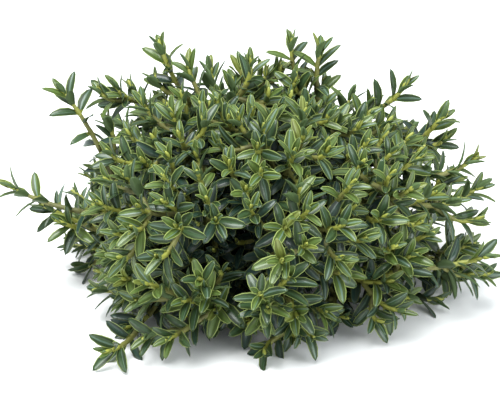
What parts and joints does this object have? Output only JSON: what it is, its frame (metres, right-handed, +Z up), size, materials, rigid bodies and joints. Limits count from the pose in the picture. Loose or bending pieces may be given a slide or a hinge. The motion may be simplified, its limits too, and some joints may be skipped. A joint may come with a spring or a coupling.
{
  "type": "hebe shrub",
  "caption": "Low, wide evergreen shrub: a bun of opposite, glossy leaves on boughs that fan out from one short woody stem, rooted in the ground.",
  "frame": {"origin": "centre of the flat cut under the main stem, at ground level", "axes": "+Z up along the stem, -Y towards the front of the shrub, +X to its right seen from the front"},
  "size_m": [0.5027, 0.4367, 0.2674],
  "materials": {
    "stem_bark": "grey-brown bark, finely fissured, matte",
    "bough_bark": "thin brown bark ringed with old leaf scars, turning green towards the tips, matte",
    "foliage": "leathery evergreen leaves, dark green with a yellow-green margin and a soft gloss, on yellow-green twigs"
  },
  "bodies": {
    "root": {"main_stem": "stem_bark", "bough_low_1": "bough_bark", "bough_low_2": "bough_bark", "bough_low_3": "bough_bark", "bough_low_4": "bough_bark", "bough_low_5": "bough_bark", "bough_low_6": "bough_bark", "bough_low_7": "bough_bark", "bough_low_8": "bough_bark", "bough_low_9": "bough_bark", "bough_middle_1": "bough_bark", "bough_middle_2": "bough_bark", "bough_middle_3": "bough_bark", "bough_middle_4": "bough_bark", "bough_middle_5": "bough_bark", "bough_middle_6": "bough_bark", "bough_middle_7": "bough_bark", "bough_top_1": "bough_bark", "bough_upper_1": "bough_bark", "bough_upper_2": "bough_bark", "bough_upper_3": "bough_bark", "bough_upper_4": "bough_bark", "foliage_low_1": "foliage", "foliage_low_2": "foliage", "foliage_low_3": "foliage", "foliage_low_4": "foliage", "foliage_low_5": "foliage", "foliage_low_6": "foliage", "foliage_low_7": "foliage", "foliage_low_8": "foliage", "foliage_low_9": "foliage", "foliage_middle_1": "foliage", "foliage_middle_2": "foliage", "foliage_middle_3": "foliage", "foliage_middle_4": "foliage", "foliage_middle_5": "foliage", "foliage_middle_6": "foliage", "foliage_middle_7": "foliage", "foliage_top_1": "foliage", "foliage_upper_1": "foliage", "foliage_upper_2": "foliage", "foliage_upper_3": "foliage", "foliage_upper_4": "foliage"}
  },
  "joints": []
}
